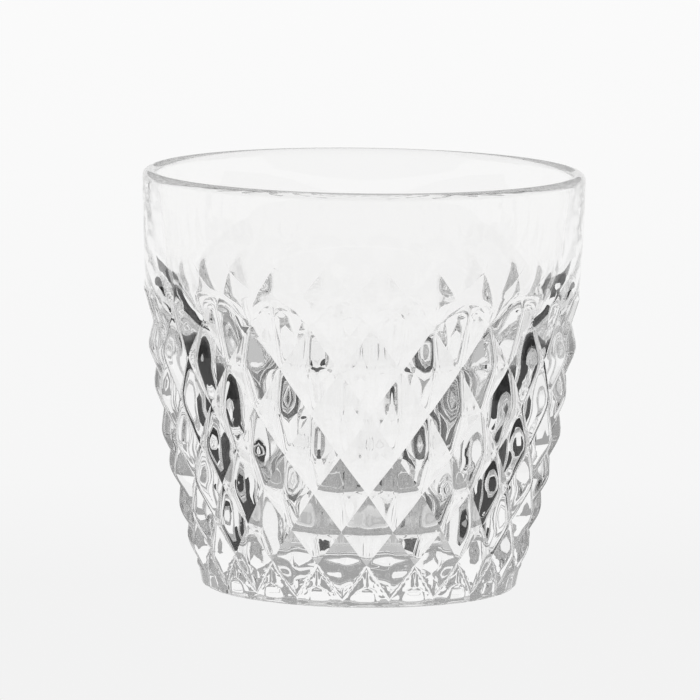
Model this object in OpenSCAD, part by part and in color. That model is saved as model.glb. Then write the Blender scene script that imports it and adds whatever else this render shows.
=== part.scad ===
// Pressed-glass whiskey tumbler with a diamond-cut body.
// One piece of glass: a plain band and lip above, rows of four-sided diamonds
// below, a cavity that narrows to a bowl-shaped bottom, and a heavy base.
// Millimetres, +Z up, origin at the middle of the foot's resting plane.

/* [Size] */
// Outer diameter at the rim
rim_d = 90; // [86:0.5:94]
// Overall height
height = 84.8; // [84:0.1:88]
// Outer diameter of the foot at the table
foot_d = 64.4; // [63:0.1:65]

/* [Lip and cavity] */
// Thickness of the rounded lip
lip_t = 2.8; // [2.4:0.1:3.2]
// Radius of the cavity just above the diamonds
waist_r = 39.4; // [38:0.1:40]
// Radius of the cavity where its wall runs into the bottom bowl
bowl_r = 23.6; // [22:0.1:24.6]
// Height of that place above the table
bowl_z = 12; // [11:0.5:14]
// Thickness of the glass in the middle of the base
base_t = 7; // [5:0.5:9]

/* [Diamonds] */
// Number of diamonds round the body
around = 21; // [20:1:22]
// How far a diamond's point stands out of the grooves round it
relief = 2.3; // [1.8:0.1:2.6]
// Height of the arched crests above the top row
crest = 2.2; // [1.8:0.1:2.4]

/* [Foot] */
// Depth of the hollow under the base
hollow_d = 0.8; // [0.5:0.1:1.5]
// Radius of that hollow
hollow_r = 22; // [18:0.5:25]

/* [Hidden] */
$fn = 96;

rim_r = rim_d / 2;
foot_r = foot_d / 2;
lip_r = lip_t / 2;
step = 180 / around;
count = 2 * around;
past = 1;    // how far a cutting shape reaches past the glass
taper = 0.4; // how much the diamonds' body narrows below its last row

// The rows of groove crossings, from the top one down: height above the table
// and radius. The last row lies in the foot.
row_z = [57.6, 48.9, 40.0, 31.2, 23.5, 15.8, 8.7, 1.6];
row_r = [42.1, 41.6, 40.2, 38.7, 37.0, 34.9, 33.2, 31.7];
rows = len(row_z);
top_relief = relief - 0.3;
foot_relief = [relief - 0.2, relief - 0.5];

// The plain band narrows a little from the lip down, and the crests run out into
// it. Just above that line the diamonds' surface has left the glass.
band_end_z = height - 21.5;
band_end_r = rim_r - 0.75;
band_mid_z = height - 10;
band_mid_r = rim_r - 0.2;
clear_r = rim_r + 0.5;
leave_r = band_end_r + 0.45;

// The crests: a short rise even over the crossings, and smooth arches between.
crest_min = 0.12;
crest_steps = 5;    // points of the arches' curve in half a diamond

// The foot: a small round corner, a steep skirt, and room for the diamonds.
foot_corner = 0.8;
skirt_z = 5.2;
skirt_out = 0.7;
room_z = 9;
room_out = 4.2;
room_r = rim_r + 0.5;
room_below = 6;

// The cavity's wall below the band, from the top down: height and radius.
wall = [[band_mid_z - 0.8, rim_r - 3.6], [60, waist_r], [50, 35.7],
    [35, 30.8], [22, 26.5]];

function on_circle(r, angle, z) = [r * sin(angle), -r * cos(angle), z];

// Points of an arc round [x, y] in the outline's plane.
function arc(x, y, r, from, to, n = 12) =
    [for (i = [0:n]) let (a = from + (to - from) * i / n) [x + r * cos(a), y + r * sin(a)]];

// A crossing lies on every second step of a row, and a diamond's point between.
function row_relief(row) =
    row == 0 ? top_relief : row < rows - 2 ? relief : foot_relief[row - rows + 2];
function row_radius(row, i) = row_r[row] + ((row + i) % 2 == 0 ? 0 : row_relief(row));
function row_point(row, i) = on_circle(row_radius(row, i), i * step, row_z[row]);
function row_ring(row) = [for (i = [0:count - 1]) row_point(row, i)];
function plain_ring(r, z) = [for (i = [0:count - 1]) on_circle(r, i * step, z)];

// A point of the top row's facets, carried on upwards past their widest line.
// Here i counts half diamonds, side is 0 at a crossing and 1 at a point.
function shield(i, side, rise) =
    let (from = i % 2 == 0 ? i : i + 1, to = i % 2 == 0 ? i + 1 : i,
         climb = rise / (row_z[0] - row_z[1]))
    row_point(0, from) + side * (row_point(0, to) - row_point(0, from))
        + climb * (row_point(0, to) - row_point(1, to));

// The crest's arch, and the surface that runs from it out to the plain band.
function crest_rise(side) = crest * sqrt(1 - pow(1 - side, 2)) + crest_min;
function run_out(i, side, angle, t) =
    let (low = shield(i, side, crest_rise(side)),
         high = on_circle(leave_r, angle, band_end_z))
    low + (high - low) * t;

// A fine ring above the top row: t is 0 at the crest and 1 at the plain band.
// Below 0 it is the top row's own zigzag.
function fine_ring(t) =
    [for (i = [0:count - 1]) for (s = [0:crest_steps - 1])
        let (part = s / crest_steps, side = i % 2 == 0 ? part : 1 - part)
        t < 0 ? shield(i, side, 0) : run_out(i, side, (i + part) * step, t)];

// Two triangles for each step between two rings. The shared edge is a groove.
function strip(a, b, flip) =
    [for (i = [0:count - 1])
        let (j = (i + 1) % count)
        each ((i + flip) % 2 == 0
            ? [[a + i, a + j, b + j], [a + i, b + j, b + i]]
            : [[a + i, a + j, b + i], [a + j, b + j, b + i]])];

// The same between a fine ring and the ring of whole half diamonds below it.
function top_strip(a, b) =
    let (n = count * crest_steps)
    [for (i = [0:count - 1])
        let (j = (i + 1) % count, tip = i % 2 == 0 ? b + j : b + i, far = i * crest_steps,
             last = (j * crest_steps) % n)
        each concat(
            [for (s = [0:crest_steps - 1])
                [a + far + s, a + (far + s + 1) % n, tip]],
            [i % 2 == 0 ? [a + far, b + j, b + i] : [a + last, b + j, b + i]])];

// Two triangles for each step between two fine rings.
function fine_strip(a, b) =
    let (n = count * crest_steps)
    [for (i = [0:n - 1]) let (j = (i + 1) % n)
        each [[a + i, a + j, b + j], [a + i, b + j, b + i]]];

// The diamonds, up to the line where the plain band begins.
module diamond_core() {
    fine = [1, 0, -1]; // the run-out's end, the crest and the top row
    n = count * crest_steps;
    coarse = (len(fine) + 1) * n;
    bottom_r = row_r[rows - 1] - taper;
    points = concat(
        [for (i = [0:n - 1])
            on_circle(clear_r, i * step / crest_steps, height + past)],
        [for (t = fine) each fine_ring(t)],
        [for (row = [1:rows - 1]) each row_ring(row)],
        plain_ring(bottom_r, -past));
    sides = concat(
        [for (k = [0:len(fine) - 1]) each fine_strip(k * n, (k + 1) * n)],
        top_strip(len(fine) * n, coarse),
        [for (k = [1:rows - 1])
            each strip(coarse + (k - 1) * count, coarse + k * count, k % 2)]);
    top = [[for (i = [n - 1:-1:0]) i]];
    bottom = [[for (i = [0:count - 1]) coarse + (rows - 1) * count + i]];
    polyhedron(points = points, faces = concat(sides, top, bottom));
}

// The turned outside: foot, room for the diamonds, plain band and lip.
module envelope() {
    rotate_extrude()
        polygon(concat(
            [[0, 0]],
            arc(foot_r - foot_corner, foot_corner, foot_corner, -90, 0, 6),
            [[foot_r + skirt_out, skirt_z], [foot_r + room_out, room_z]],
            [[room_r, band_end_z - room_below], [band_end_r, band_end_z]],
            [[band_mid_r, band_mid_z]],
            arc(rim_r - lip_r, height - lip_r, lip_r, 0, 90, 8),
            [[0, height]]));
}

// The cavity: a rounded lip, a long tapering wall and a bowl.
module cavity() {
    bowl_h = bowl_z - base_t;
    rotate_extrude()
        polygon(concat(
            [for (i = [0:12]) let (a = 90 * i / 12)
                [bowl_r * sin(a), base_t + bowl_h * (1 - cos(a))]],
            [for (i = [len(wall) - 1:-1:0]) [wall[i][1], wall[i][0]]],
            arc(rim_r - lip_r, height - lip_r, lip_r, 180, 90, 8),
            [[rim_r - lip_r, height + past], [0, height + past]]));
}

// The shallow hollow that leaves a flat ring to stand on.
module foot_hollow() {
    slope = 1;
    translate([0, 0, -past])
        cylinder(h = hollow_d + past, r1 = hollow_r + slope, r2 = hollow_r - slope);
}

module tumbler() {
    color([0.93, 0.96, 0.95, 0.5])
        difference() {
            intersection() {
                diamond_core();
                envelope();
            }
            cavity();
            foot_hollow();
        }
}

tumbler();
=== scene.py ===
# Pressed-glass whiskey tumbler with a diamond-cut body, on a pale studio floor.
# Lengths are in millimetres up to the moment a mesh is made or the camera is placed,
# with the origin in the middle of the foot's resting plane and +Z up, as in the CAD.
import math

import bpy
import numpy as np
from mathutils import Matrix, Vector


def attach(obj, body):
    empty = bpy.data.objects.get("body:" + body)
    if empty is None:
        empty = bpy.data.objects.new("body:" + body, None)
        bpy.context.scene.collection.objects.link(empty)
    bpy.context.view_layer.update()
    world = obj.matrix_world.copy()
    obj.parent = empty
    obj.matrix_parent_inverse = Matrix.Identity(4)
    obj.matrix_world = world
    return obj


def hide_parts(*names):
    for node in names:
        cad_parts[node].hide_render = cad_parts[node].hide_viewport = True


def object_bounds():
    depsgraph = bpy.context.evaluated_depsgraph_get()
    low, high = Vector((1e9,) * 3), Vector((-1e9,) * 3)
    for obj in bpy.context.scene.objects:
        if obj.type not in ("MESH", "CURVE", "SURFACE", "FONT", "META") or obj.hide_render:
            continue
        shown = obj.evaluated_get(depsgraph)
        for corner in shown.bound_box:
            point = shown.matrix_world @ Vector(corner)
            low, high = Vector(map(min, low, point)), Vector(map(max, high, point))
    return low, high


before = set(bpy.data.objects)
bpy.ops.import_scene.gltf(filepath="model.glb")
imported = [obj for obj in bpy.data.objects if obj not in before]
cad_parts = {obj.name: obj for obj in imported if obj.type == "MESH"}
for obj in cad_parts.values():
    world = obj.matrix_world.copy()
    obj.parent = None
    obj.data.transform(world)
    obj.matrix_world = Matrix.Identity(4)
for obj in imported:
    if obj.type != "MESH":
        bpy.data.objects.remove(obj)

CAD_LO, CAD_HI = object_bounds()
MM = 0.001

# ---- the glass: driving dimensions --------------------------------------------------

RIM_R = (CAD_HI.x - CAD_LO.x) / 2 / MM
HEIGHT = CAD_HI.z / MM

AROUND = 21                  # diamonds round the body
PITCH = math.tau / AROUND    # angle of one diamond

# Rows of groove crossings from the top one down, and how far the diamonds' points,
# which lie between the crossings of each row, stand out from them.
ROW_Z = np.array([57.6, 48.9, 40.0, 31.2, 23.5, 15.8, 8.7, 1.6])
ROW_R = np.array([42.1, 41.6, 40.2, 38.7, 37.0, 34.9, 33.2, 31.7])
RELIEF = np.array([2.1, 2.6, 2.6, 2.6, 2.6, 2.6, 2.4, 2.0])
BELTS = len(ROW_Z) - 1       # belts of facets, each between two rows
RIDGE_SOFT = 0.26            # rounding of the ridges, as a share of half a diamond

CREST = 2.2                  # rise of the arched crests above the top row
CREST_MIN = 0.12             # a short rise that they have even over the crossings
RUN_OUT = 1.6                # how fast a crest's surface turns to the band: 1 is straight

LIP_R = 1.4                  # rounding of the lip
BAND_END = HEIGHT - 21.5     # where the plain band ends
BAND_H = 26.7                # this far below the lip it would be narrower...
BAND_DROP = 1.1              # ...by this much,
BAND_CURVE = 1.5             # on a curve with this power

FOOT_R = 32.2                # at the foot's small round corner
FOOT_ROUND = 0.8             # that corner's radius
SKIRT_FLARE = 0.2            # slope outwards above the corner
ROOM_Z = 3.5                 # from this height on, the diamonds need more room
ROOM_FLARE = 0.6             # slope outwards that is added there
FOOT_BLEND = 0.3             # softening of the line where foot and diamonds meet
FOOT_TAPER = 0.2             # narrowing of the diamonds below their last row

# The cavity's wall from the lip down, height and radius, and the glass under its bowl.
WALL = [(HEIGHT - LIP_R, 42.2), (HEIGHT - 10, 41.4), (60, 39.4), (50, 35.7), (35, 30.8),
        (22, 26.5), (12, 23.6)]
BASE_T = 7

# The hollow under the base. Its edge is given from the resting ring in, as height and
# distance outside HOLLOW_R.
HOLLOW_R = 22
HOLLOW_D = 0.8
HOLLOW_EDGE = [(0, 1.2), (0, 0.6), (0.15, 0.3), (HOLLOW_D - 0.15, -0.7), (HOLLOW_D, -1.2)]

# ---- the glass: mesh steps ----------------------------------------------------------

FINE = 10                    # across half a diamond, and down a belt of facets
CROWDING = 0.8               # how much closer those lie near their ends: 0 is evenly
LIP_STEPS = 8                # round the lip, outside
BAND_STEPS = 17              # down the plain band
RUN_OUT_STEPS = 10           # from the band to the crests
CREST_PARTS = (0.75, 0.5, 0.25)          # of the crests' height, down to the top row
CORNER_Z = (0.8, 0.5, 0.25, 0.08, 0)     # down the foot's corner
LIP_IN_STEPS = 14            # round the lip, inside
WALL_STEPS = 29              # down the cavity's wall
BOWL_STEPS = 15              # to the middle of the cavity's floor
REST_RINGS = (29, 26)        # radii on the resting ring
ROOF_RINGS = (18, 12, 6, 2)  # radii in the hollow

# ---- the stage: places and tones ----------------------------------------------------

FLOOR_HALF = 4000            # half of the floor's side
FLOOR_Z = -0.2
FLOOR_TONES = [(0, 0.89), (140, 0.921), (760, 0.947), (1420, 0.96)]   # by distance behind; painted light falloff, paler far behind the glass
# The floor glows evenly and takes no shadow, so the glass's shadow under the foot is painted
# as a grey disc.

SHADE_R = 30                 # painted shadow: a grey disc under the foot, seen through the base
SHADE_Z = -0.1
SHADE_TONE = 0.55
SHADE_CORNERS = 64

# The camera doesn't see the next three, but the glass shows them.
CARD_X = 70                  # black cards, upright on either side of the glass
CARD_Y0, CARD_Y1 = 0, 50
CARD_H = 50
STRIP_X0, STRIP_X1 = 48, 120     # black strips, flat on either side of it
STRIP_Y0, STRIP_Y1 = 0, 70
BLACK_TONE = 0.01
BACK_Y = 1000                # pale backdrop, far behind it
BACK_HALF = 1000             # half of its width
BACK_H = 250
BACK_TONE = 0.95

SKY_TONE = 0.34              # the world in the glass
SKY_SEEN = 0.95              # the world where the camera looks straight at it

# The camera stands back from the axis and above the rim. Angles are in degrees: TURN
# takes it round the glass's axis, and the others aim it.
LENS = 382.217
SENSOR_W = 36
CAMERA_BACK = 1500
CAMERA_ABOVE = 160.6
CAMERA_TURN = -2.61
CAMERA_PITCH = 7.5           # downwards
CAMERA_YAW = 0.0917          # to the left
CAMERA_ROLL = 0.745

BOUNCES = 40                 # the ridges need many inner reflections


# ---- small helpers ------------------------------------------------------------------

def polar(r, angle, z):
    """Points on circles round the axis. Angle 0 is the front, -Y."""
    return np.stack(np.broadcast_arrays(r * np.sin(angle), -r * np.cos(angle), z), -1)


def radius(p):
    """Distance from the glass's axis."""
    return np.hypot(p[..., 0], p[..., 1])


def at_radius(p, r):
    """The points moved straight in or out to radius r."""
    scale = (r / radius(p))[..., None]
    return np.concatenate([p[..., :2] * scale, p[..., 2:]], -1)


def quarter_turn(steps):
    """Angles from 0 to 90 degrees in radians, one more than the steps between them."""
    return np.linspace(0, math.pi / 2, steps + 1)


def smooth_min(a, b, width):
    """The smaller of a and b, rounded off where they are nearly equal."""
    h = np.clip(0.5 + 0.5 * (b - a) / width, 0, 1)
    return b * (1 - h) + a * h - width * h * (1 - h)


def crowd(x):
    """Steps from 0 to 1 that lie closer together near both ends."""
    return x - CROWDING * np.sin(math.tau * x) / math.tau


def smooth_line(points, steps):
    """Points of a cubic curve through (height, radius), with the heights falling."""
    z, r = np.array(points).T
    slope = np.diff(r) / np.diff(z)
    m = np.concatenate([slope[:1], (slope[1:] + slope[:-1]) / 2, slope[-1:]])
    at = np.linspace(z[0], z[-1], steps + 1)
    i = np.clip(np.searchsorted(-z, -at) - 1, 0, len(z) - 2)
    h = z[i + 1] - z[i]
    t = (at - z[i]) / h
    start = (2 * t**3 - 3 * t**2 + 1) * r[i] + (t**3 - 2 * t**2 + t) * h * m[i]
    end = (3 * t**2 - 2 * t**3) * r[i + 1] + (t**3 - t**2) * h * m[i + 1]
    return list(zip(at, start + end))


# ---- the diamonds -------------------------------------------------------------------

def soften(x):
    """How much rounding takes off a ridge at a distance x from it, per relief."""
    e = RIDGE_SOFT
    return np.where(x < e, x * x / (2 * e) + e / 2 - x, 0)


def pattern(u, v):
    """Points of the diamond-cut surface: u counts diamonds round, v counts rows down.

    A cell is half a diamond wide and one row high. A groove runs through it from one
    crossing to another, and on each side of the groove lies a flat facet, which two
    ridges bound.
    """
    i = np.floor(2 * u).astype(int)
    k = np.minimum(np.floor(v).astype(int), BELTS - 1)
    a, b = 2 * u - i, v - k

    def corner(di, dk):
        row = k + dk
        is_point = (i + di + row) % 2
        return polar(ROW_R[row] + is_point * RELIEF[row], (i + di) * PITCH / 2, ROW_Z[row])

    p00, p10, p01, p11 = corner(0, 0), corner(1, 0), corner(0, 1), corner(1, 1)
    falling = (i + k) % 2 == 0   # the groove runs down to the right
    near = np.where(falling, a >= b, a + b <= 1)   # the point lies above the groove
    across, down = a[..., None], b[..., None]
    on_fall = np.where(near[..., None],
                       (1 - across) * p00 + (across - down) * p10 + down * p11,
                       (1 - down) * p00 + (down - across) * p01 + across * p11)
    on_rise = np.where(near[..., None],
                       (1 - across - down) * p00 + across * p10 + down * p01,
                       (across + down - 1) * p11 + (1 - across) * p01 + (1 - down) * p10)
    p = np.where(falling[..., None], on_fall, on_rise)

    # Distances from the upright and the level ridge. The top row has no level ridge,
    # because its facets run on upwards.
    side = np.where(near == falling, 1 - a, a)
    drop = np.where(near, np.where(k == 0, 1, b), 1 - b)
    relief = RELIEF[k] * (1 - b) + RELIEF[k + 1] * b
    return at_radius(p, radius(p) - relief * (soften(side) + soften(drop)))


def off_crossing(u):
    """0 at the crossings of the top row, and 1 halfway between them."""
    return 2 * np.abs(u - np.round(u))


def crest_rise(u):
    """Height of the arched crests above the top row."""
    return CREST * np.sqrt(1 - (1 - off_crossing(u)) ** 2) + CREST_MIN


def shield(u, rise):
    """Points of the top row's facets, which run on upwards past their widest line."""
    side = off_crossing(u)
    whole = np.round(u)
    half = whole + np.where(u >= whole, 0.5, -0.5)
    crossing = polar(ROW_R[0], whole * PITCH, ROW_Z[0])
    point = polar(ROW_R[0] + RELIEF[0], half * PITCH, ROW_Z[0])
    below = polar(ROW_R[1], half * PITCH, ROW_Z[1])
    climb = rise / (ROW_Z[0] - ROW_Z[1])
    p = crossing + side[:, None] * (point - crossing) + climb[:, None] * (point - below)
    return at_radius(p, radius(p) - RELIEF[0] * soften(1 - side))


def run_out(u, t):
    """Points between the crests (t = 0) and the plain band (t = 1)."""
    crest = shield(u, crest_rise(u))
    r = radius(crest)
    angle = np.arctan2(crest[:, 0], -crest[:, 1])
    drift = (u * PITCH - angle + math.pi) % math.tau - math.pi
    z = crest[:, 2] + (BAND_END - crest[:, 2]) * t
    out = (band_radius(BAND_END) - r) * t * (RUN_OUT - (RUN_OUT - 1) * t)
    return polar(r + out, angle + drift * t, z)


# ---- the glass's mesh ---------------------------------------------------------------

def band_radius(z):
    """The plain band narrows a little from the lip down."""
    depth = (HEIGHT - LIP_R - z) / BAND_H
    return RIM_R - BAND_DROP * depth ** BAND_CURVE


def foot_radius(z):
    """The turned outline that the diamonds are cut to near the table."""
    corner = np.clip(1 - z / FOOT_ROUND, 0, 1)
    flare = SKIRT_FLARE * np.clip(z - FOOT_ROUND, 0, None)
    flare += ROOM_FLARE * np.clip(z - ROOM_Z, 0, None)
    return FOOT_R + flare - FOOT_ROUND * (1 - np.sqrt(1 - corner ** 2))


def belt_rings(u):
    """Rings down the belts. The foot cuts the last one, which has twice as many."""
    rings = []
    for k in range(BELTS - 1):
        rings += [pattern(u, np.full_like(u, k + b)) for b in crowd(np.arange(FINE) / FINE)]
    for b in np.linspace(0, 1, 2 * FINE + 1):
        p = pattern(u, np.full_like(u, BELTS - 1 + b))
        rings.append(at_radius(p, smooth_min(radius(p), foot_radius(p[:, 2]), FOOT_BLEND)))
    return rings


def corner_rings(last, angle):
    """Rings from the last belt down to the table."""
    rings = []
    for z in CORNER_Z:
        tapered = radius(last) - FOOT_TAPER * (1 - z / ROW_Z[-1])
        rings.append(polar(np.minimum(tapered, foot_radius(z)), angle, z))
    return rings


def inner_outline():
    """The inside from the lip to the floor's last ring: height and radius."""
    lip = [(HEIGHT - LIP_R + LIP_R * math.cos(t), RIM_R - LIP_R - LIP_R * math.sin(t))
           for t in quarter_turn(LIP_IN_STEPS)[1:]]
    wall = smooth_line(WALL, WALL_STEPS)
    bowl_z, bowl_r = wall[-1]
    bowl = [(BASE_T + (bowl_z - BASE_T) * (1 - math.sin(t)), bowl_r * math.cos(t))
            for t in quarter_turn(BOWL_STEPS)[1:-1]]
    return lip + wall[1:] + bowl


def under_outline():
    """The underside from the resting ring to the hollow's last ring: height and radius."""
    edge = [(z, HOLLOW_R + out) for z, out in HOLLOW_EDGE]
    return [(0, r) for r in REST_RINGS] + edge + [(HOLLOW_D, r) for r in ROOF_RINGS]


def glass_rings():
    """Rings of n points from the cavity's floor over the lip to the hollow, and the
    number of the first one in the belts."""
    steps = crowd(np.arange(FINE) / FINE)
    u = (np.arange(2 * AROUND)[:, None] + steps).ravel() / 2
    angle = u * PITCH
    rings = [polar(r, angle, z) for z, r in reversed(inner_outline())]
    rings += [polar(RIM_R - LIP_R + LIP_R * math.sin(t), angle,
                    HEIGHT - LIP_R + LIP_R * math.cos(t)) for t in quarter_turn(LIP_STEPS)]
    rings += [polar(band_radius(z), angle, z)
              for z in np.linspace(HEIGHT - LIP_R, BAND_END, BAND_STEPS + 1)[1:]]
    rings += [run_out(u, t) for t in np.linspace(1, 0, RUN_OUT_STEPS + 1)[1:]]
    rings += [shield(u, part * crest_rise(u)) for part in CREST_PARTS]
    first_belt = len(rings)
    rings += belt_rings(u)
    rings += corner_rings(rings[-1], angle)
    rings += [polar(r, angle, z) for z, r in under_outline()]
    return rings, first_belt


def glass_faces(n, count, first_belt):
    """Faces between count rings of n points, and the edges that lie in the grooves."""
    faces, grooves = [], set()
    for j in range(count - 1):
        row = j - first_belt
        in_belts = 0 <= row < (BELTS + 1) * FINE
        k = min(row // FINE, BELTS - 1)
        for i in range(n):
            a, b = j * n + i, j * n + (i + 1) % n
            c, d = b + n, a + n
            if not in_belts:
                faces.append((a, d, c, b))
                continue
            falling = (i // FINE + k) % 2 == 0
            faces += [(a, d, c), (a, c, b)] if falling else [(a, d, b), (b, d, c)]
            on_groove = row % FINE == (i % FINE if falling else FINE - 1 - i % FINE)
            if on_groove and k < BELTS - 1:
                grooves.add((a, c) if falling else (b, d))
    floor_middle, roof_middle, last = count * n, count * n + 1, (count - 1) * n
    for i in range(n):
        faces.append((floor_middle, i, (i + 1) % n))
        faces.append((roof_middle, last + (i + 1) % n, last + i))
    return faces, grooves


def build_tumbler():
    rings, first_belt = glass_rings()
    faces, grooves = glass_faces(len(rings[0]), len(rings), first_belt)
    verts = np.concatenate(rings + [[(0, 0, BASE_T), (0, 0, HOLLOW_D)]])
    mesh = bpy.data.meshes.new("tumbler_glass")
    mesh.from_pydata((verts * MM).tolist(), [], faces)
    mesh.update()
    mesh.shade_smooth()
    sharp = [tuple(sorted(edge.vertices)) in grooves for edge in mesh.edges]
    mesh.attributes.new("sharp_edge", "BOOLEAN", "EDGE").data.foreach_set("value", sharp)
    mesh.materials.append(glass_material())
    obj = bpy.data.objects.new("tumbler_glass", mesh)
    bpy.context.scene.collection.objects.link(obj)
    return obj


# ---- materials ----------------------------------------------------------------------

def glass_material():
    mat = bpy.data.materials.new("clear_glass")
    mat.use_nodes = True
    bsdf = mat.node_tree.nodes["Principled BSDF"]
    bsdf.inputs["Base Color"].default_value = (0.998, 0.997, 0.995, 1)
    bsdf.inputs["Roughness"].default_value = 0.0
    bsdf.inputs["IOR"].default_value = 1.52
    bsdf.inputs["Transmission Weight"].default_value = 1.0
    return mat


def tone_material(name, tone):
    """An evenly glowing surface of one grey tone."""
    mat = bpy.data.materials.new(name)
    mat.use_nodes = True
    nodes, links = mat.node_tree.nodes, mat.node_tree.links
    nodes.clear()
    out = nodes.new("ShaderNodeOutputMaterial")
    emit = nodes.new("ShaderNodeEmission")
    emit.inputs["Color"].default_value = (tone, tone, tone, 1)
    links.new(emit.outputs["Emission"], out.inputs["Surface"])
    return mat


def floor_material():
    """The floor's glowing tone, which follows FLOOR_TONES behind the glass as painted light
    falloff, paler far behind it.
    """
    mat = tone_material("floor", FLOOR_TONES[0][1])
    nodes, links = mat.node_tree.nodes, mat.node_tree.links
    reach = FLOOR_TONES[-1][0]
    place = nodes.new("ShaderNodeTexCoord")
    split = nodes.new("ShaderNodeSeparateXYZ")
    scale = nodes.new("ShaderNodeMath")
    scale.operation = "DIVIDE"
    scale.inputs[1].default_value = reach * MM
    ramp = nodes.new("ShaderNodeValToRGB")
    stops = ramp.color_ramp.elements
    for i, (y, tone) in enumerate(FLOOR_TONES):
        stop = stops[i] if i < len(stops) else stops.new(y / reach)
        stop.position = y / reach
        stop.color = (tone, tone, tone, 1)
    links.new(place.outputs["Object"], split.inputs["Vector"])
    links.new(split.outputs["Y"], scale.inputs[0])
    links.new(scale.outputs["Value"], ramp.inputs["Fac"])
    links.new(ramp.outputs["Color"], nodes["Emission"].inputs["Color"])
    return mat


# ---- stage --------------------------------------------------------------------------

def flat_piece(name, corners, material, seen=True):
    """A flat piece of the stage, which the camera sees or only the glass shows."""
    mesh = bpy.data.meshes.new(name)
    mesh.from_pydata([Vector(c) * MM for c in corners], [], [tuple(range(len(corners)))])
    mesh.materials.append(material)
    obj = bpy.data.objects.new(name, mesh)
    bpy.context.scene.collection.objects.link(obj)
    obj.visible_camera = seen


def rectangle(start, side_a, side_b):
    """Its corners, from one of them and the two sides that leave it."""
    p, a, b = Vector(start), Vector(side_a), Vector(side_b)
    return [p, p + a, p + a + b, p + b]


def build_floor():
    corners = rectangle((-FLOOR_HALF, -FLOOR_HALF, FLOOR_Z),
                        (2 * FLOOR_HALF, 0, 0), (0, 2 * FLOOR_HALF, 0))
    flat_piece("floor", corners, floor_material())


# Painted shadow: a glowing grey disc on the floor under the foot, where the glass would shade
# the table.
def build_shade():
    turns = [math.tau * i / SHADE_CORNERS for i in range(SHADE_CORNERS)]
    corners = [(SHADE_R * math.cos(t), SHADE_R * math.sin(t), SHADE_Z) for t in turns]
    flat_piece("shade", corners, tone_material("shade", SHADE_TONE))


def build_backdrop():
    corners = rectangle((-BACK_HALF, BACK_Y, 0), (2 * BACK_HALF, 0, 0), (0, 0, BACK_H))
    flat_piece("backdrop", corners, tone_material("backdrop", BACK_TONE), seen=False)


def build_cards():
    """A black card and a black strip on each side of the glass."""
    black = tone_material("card", BLACK_TONE)
    for name, x in (("card_left", -CARD_X), ("card_right", CARD_X)):
        corners = rectangle((x, CARD_Y0, 0), (0, CARD_Y1 - CARD_Y0, 0), (0, 0, CARD_H))
        flat_piece(name, corners, black, seen=False)
    for name, side in (("strip_left", -1), ("strip_right", 1)):
        corners = rectangle((side * STRIP_X0, STRIP_Y0, 0),
                            (side * (STRIP_X1 - STRIP_X0), 0, 0), (0, STRIP_Y1 - STRIP_Y0, 0))
        flat_piece(name, corners, black, seen=False)


def build_camera():
    def turned(degrees, axis):
        return Matrix.Rotation(math.radians(degrees), 4, axis)

    data = bpy.data.cameras.new("camera")
    data.sensor_width = SENSOR_W
    data.lens = LENS
    camera = bpy.data.objects.new("camera", data)
    place = Matrix.Translation(Vector((0, -CAMERA_BACK, HEIGHT + CAMERA_ABOVE)) * MM)
    aim = turned(CAMERA_YAW, "Z") @ turned(90 - CAMERA_PITCH, "X") @ turned(CAMERA_ROLL, "Z")
    camera.matrix_world = turned(CAMERA_TURN, "Z") @ place @ aim
    bpy.context.scene.collection.objects.link(camera)
    bpy.context.scene.camera = camera


def build_world():
    world = bpy.data.worlds.new("studio")
    bpy.context.scene.world = world
    world.use_nodes = True
    nodes, links = world.node_tree.nodes, world.node_tree.links
    ray = nodes.new("ShaderNodeLightPath")
    tone = nodes.new("ShaderNodeMapRange")
    tone.inputs["To Min"].default_value = SKY_TONE
    tone.inputs["To Max"].default_value = SKY_SEEN
    links.new(ray.outputs["Is Camera Ray"], tone.inputs["Value"])
    links.new(tone.outputs["Result"], nodes["Background"].inputs["Color"])


def set_tones_and_bounces():
    scene = bpy.context.scene
    scene.view_settings.view_transform = "Standard"
    scene.cycles.max_bounces = BOUNCES
    scene.cycles.glossy_bounces = BOUNCES
    scene.cycles.transmission_bounces = BOUNCES


# ---- all together -------------------------------------------------------------------

build_camera()
tumbler = build_tumbler()
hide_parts("tumbler")
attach(tumbler, "root")
build_floor()
build_shade()
build_backdrop()
build_cards()
build_world()
set_tones_and_bounces()
